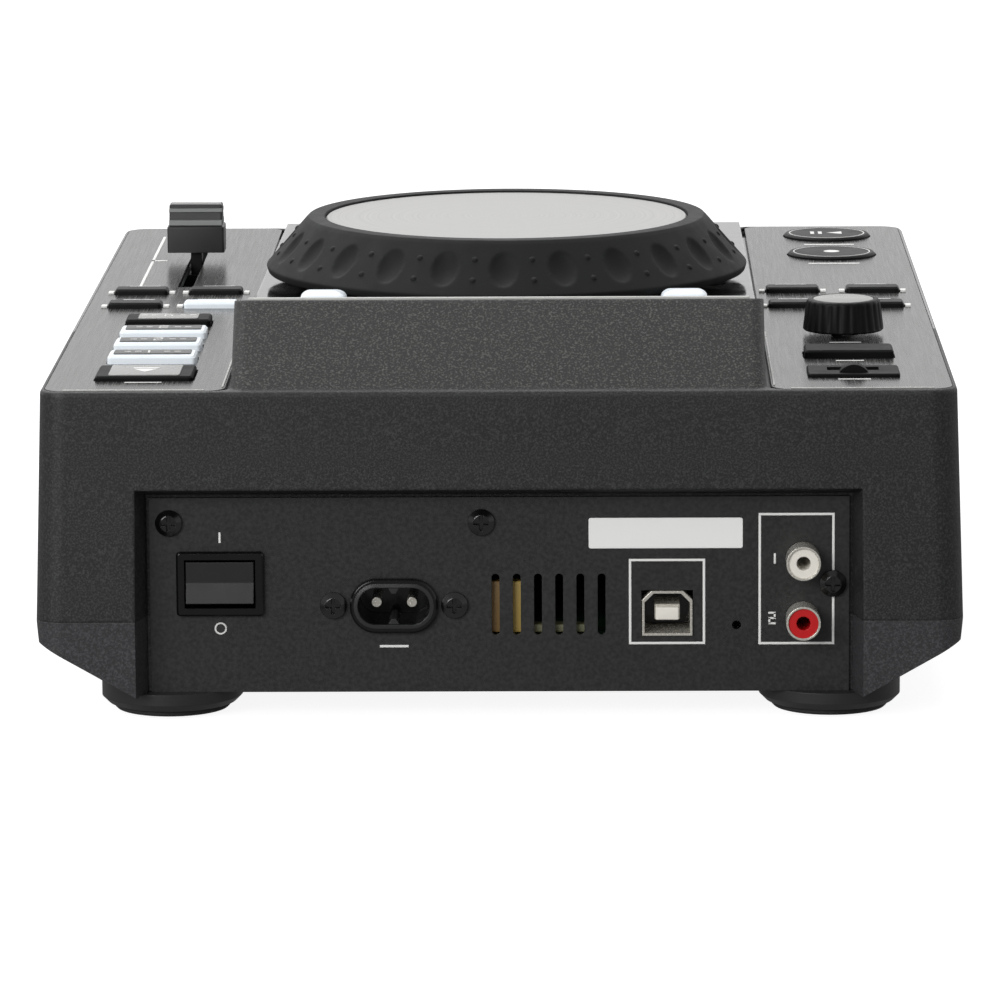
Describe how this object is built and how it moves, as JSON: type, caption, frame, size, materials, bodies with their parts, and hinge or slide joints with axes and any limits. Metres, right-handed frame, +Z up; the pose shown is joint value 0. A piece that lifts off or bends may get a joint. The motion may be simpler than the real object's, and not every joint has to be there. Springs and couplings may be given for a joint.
{
  "type": "tabletop dj disc player",
  "caption": "Tabletop DJ disc player: flat-topped case with raised middle, large turning jog wheel, slide fader, push keys, browse knob, slot disc drive and rear sockets.",
  "frame": {"origin": "middle of the case in plan, at the level of the undersides of the feet", "axes": "+X to the player's right, +Y to its rear, +Z up; the controls face +Z and the disc slot faces -Y"},
  "size_m": [0.2246, 0.2984, 0.1027],
  "materials": {
    "case_black": "moulded black ABS with a fine spark texture",
    "plate_grey": "brushed and anodised dark grey",
    "panel_black": "black powder-coated sheet",
    "rubber_black": "matt",
    "foot_black": "smooth black",
    "key_black": "satin black",
    "key_white": "milky white, lit from below",
    "key_grey": "smoked grey",
    "jog_silver": "fine spun disc",
    "fader_grey": "satin grey with lighter ridges",
    "knob_black": "soft-touch",
    "screen_glass": "smoked clear window",
    "screen_grey": "dark screen",
    "board_green": "solder-masked board",
    "steel": "turned and ground",
    "steel_sheet": "zinc-plated pressed sheet",
    "screw_black": "black oxide",
    "nickel": "nickel plate",
    "inlet_black": "glossy black",
    "white_plastic": "white insulator",
    "red_plastic": "red insulator",
    "brass": "bright"
  },
  "bodies": {
    "case": {"bottom_case": "case_black", "top_case": "case_black", "left_top_plate": "plate_grey", "right_top_plate": "plate_grey", "rear_panel": "panel_black", "panel_screws": "screw_black", "case_screws": "screw_black", "feet": "foot_black", "foot_pads": "rubber_black", "slot_bezel": "inlet_black", "display_window": "screen_glass", "display_module": "screen_grey", "main_board": "board_green", "power_board": "board_green", "control_boards": "board_green", "mains_inlet": "inlet_black", "inlet_pins": "nickel", "switch_frame": "inlet_black", "usb_b_socket": "nickel", "rca_sleeves": "nickel", "rca_ring_white": "white_plastic", "rca_ring_red": "red_plastic", "usb_a_socket": "key_black", "jog_bearing": "brass", "fader_body": "steel_sheet", "drive_frame": "steel_sheet", "drive_dampers": "rubber_black", "guide_rods": "steel", "drive_motors": "steel"},
    "jog": {"jog_ring": "rubber_black", "jog_plate": "jog_silver", "jog_shaft": "steel"},
    "fader": {"fader_cap": "fader_grey", "fader_carriage": "key_black"},
    "knob_shaft": {"encoder_shaft": "steel"},
    "knob": {"browse_knob": "knob_black"},
    "rocker": {"power_rocker": "inlet_black"},
    "turntable": {"turntable": "key_black"},
    "roller": {"feed_roller": "rubber_black"},
    "lead_screw": {"lead_screw": "steel"},
    "sled": {"pickup_sled": "key_black"},
    "clamp": {"clamp_arm": "steel_sheet"},
    "eject_button": {"eject_button": "key_grey"},
    "back_button": {"back_button": "key_black"},
    "pad_1": {"pad_1": "key_white"},
    "pad_2": {"pad_2": "key_white"},
    "pad_3": {"pad_3": "key_white"},
    "pad_4": {"pad_4": "key_grey"},
    "key_left_1": {"key_left_1": "key_black"},
    "key_left_2": {"key_left_2": "key_black"},
    "key_left_3": {"key_left_3": "key_black"},
    "key_left_4": {"key_left_4": "key_black"},
    "key_right_1": {"key_right_1": "key_white"},
    "key_right_2": {"key_right_2": "key_black"},
    "key_right_3": {"key_right_3": "key_black"},
    "key_right_4": {"key_right_4": "key_black"},
    "play_button": {"play_button": "key_black"},
    "cue_button": {"cue_button": "key_black"},
    "deck_button_left": {"deck_button_left": "key_white"},
    "deck_button_right": {"deck_button_right": "key_white"}
  },
  "joints": [
    {"name": "jog_spin", "type": "hinge", "parent": "case", "child": "jog", "pos_m": [0, -0.0125, 0.09], "axis": [0, 0, 1], "continuous": true},
    {"name": "fader_slide", "type": "slide", "parent": "case", "child": "fader", "axis": [0, 1, 0], "range_m": [-0.046, 0.046]},
    {"name": "knob_press", "type": "slide", "parent": "case", "child": "knob_shaft", "axis": [0, 0, -1], "range_m": [0, 0.0009], "stiffness_N_per_m": 900},
    {"name": "knob_turn", "type": "hinge", "parent": "knob_shaft", "child": "knob", "pos_m": [-0.0863, 0.0585, 0.085], "axis": [0, 0, 1], "continuous": true},
    {"name": "rocker_tilt", "type": "hinge", "parent": "case", "child": "rocker", "pos_m": [0.0677, 0.1403, 0.033], "axis": [-1, 0, 0], "range_deg": [0, 14]},
    {"name": "disc_spin", "type": "hinge", "parent": "case", "child": "turntable", "pos_m": [0, -0.076, 0.045], "axis": [0, 0, 1], "continuous": true},
    {"name": "roller_spin", "type": "hinge", "parent": "case", "child": "roller", "pos_m": [0, -0.1395, 0.0444], "axis": [1, 0, 0], "continuous": true},
    {"name": "screw_turn", "type": "hinge", "parent": "case", "child": "lead_screw", "pos_m": [0.014, -0.03, 0.0365], "axis": [0, 1, 0], "range_deg": [0, 4092]},
    {"name": "sled_slide", "type": "slide", "parent": "case", "child": "sled", "axis": [0, 1, 0], "range_m": [0, 0.0341]},
    {"name": "clamp_lift", "type": "hinge", "parent": "case", "child": "clamp", "pos_m": [0, 0.014, 0.056], "axis": [-1, 0, 0], "range_deg": [0, 6], "stiffness_Nm_per_rad": 0.4, "springref_deg": -5.73},
    {"name": "eject_button_press", "type": "slide", "parent": "case", "child": "eject_button", "axis": [0, 0, -1], "range_m": [0, 0.0009], "stiffness_N_per_m": 900},
    {"name": "back_button_press", "type": "slide", "parent": "case", "child": "back_button", "axis": [0, 0, -1], "range_m": [0, 0.0009], "stiffness_N_per_m": 900},
    {"name": "pad_1_press", "type": "slide", "parent": "case", "child": "pad_1", "axis": [0, 0, -1], "range_m": [0, 0.0009], "stiffness_N_per_m": 900},
    {"name": "pad_2_press", "type": "slide", "parent": "case", "child": "pad_2", "axis": [0, 0, -1], "range_m": [0, 0.0009], "stiffness_N_per_m": 900},
    {"name": "pad_3_press", "type": "slide", "parent": "case", "child": "pad_3", "axis": [0, 0, -1], "range_m": [0, 0.0009], "stiffness_N_per_m": 900},
    {"name": "pad_4_press", "type": "slide", "parent": "case", "child": "pad_4", "axis": [0, 0, -1], "range_m": [0, 0.0009], "stiffness_N_per_m": 900},
    {"name": "key_left_1_press", "type": "slide", "parent": "case", "child": "key_left_1", "axis": [0, 0, -1], "range_m": [0, 0.0009], "stiffness_N_per_m": 900},
    {"name": "key_left_2_press", "type": "slide", "parent": "case", "child": "key_left_2", "axis": [0, 0, -1], "range_m": [0, 0.0009], "stiffness_N_per_m": 900},
    {"name": "key_left_3_press", "type": "slide", "parent": "case", "child": "key_left_3", "axis": [0, 0, -1], "range_m": [0, 0.0009], "stiffness_N_per_m": 900},
    {"name": "key_left_4_press", "type": "slide", "parent": "case", "child": "key_left_4", "axis": [0, 0, -1], "range_m": [0, 0.0009], "stiffness_N_per_m": 900},
    {"name": "key_right_1_press", "type": "slide", "parent": "case", "child": "key_right_1", "axis": [0, 0, -1], "range_m": [0, 0.0009], "stiffness_N_per_m": 900},
    {"name": "key_right_2_press", "type": "slide", "parent": "case", "child": "key_right_2", "axis": [0, 0, -1], "range_m": [0, 0.0009], "stiffness_N_per_m": 900},
    {"name": "key_right_3_press", "type": "slide", "parent": "case", "child": "key_right_3", "axis": [0, 0, -1], "range_m": [0, 0.0009], "stiffness_N_per_m": 900},
    {"name": "key_right_4_press", "type": "slide", "parent": "case", "child": "key_right_4", "axis": [0, 0, -1], "range_m": [0, 0.0009], "stiffness_N_per_m": 900},
    {"name": "play_button_press", "type": "slide", "parent": "case", "child": "play_button", "axis": [0, 0, -1], "range_m": [0, 0.0009], "stiffness_N_per_m": 900},
    {"name": "cue_button_press", "type": "slide", "parent": "case", "child": "cue_button", "axis": [0, 0, -1], "range_m": [0, 0.0009], "stiffness_N_per_m": 900},
    {"name": "deck_button_left_press", "type": "slide", "parent": "case", "child": "deck_button_left", "axis": [0, 0, -1], "range_m": [0, 0.0009], "stiffness_N_per_m": 900},
    {"name": "deck_button_right_press", "type": "slide", "parent": "case", "child": "deck_button_right", "axis": [0, 0, -1], "range_m": [0, 0.0009], "stiffness_N_per_m": 900}
  ],
  "couplings": [
    {"joint": "screw_turn", "follows": "sled_slide", "rad_per_m": 2094.4}
  ]
}
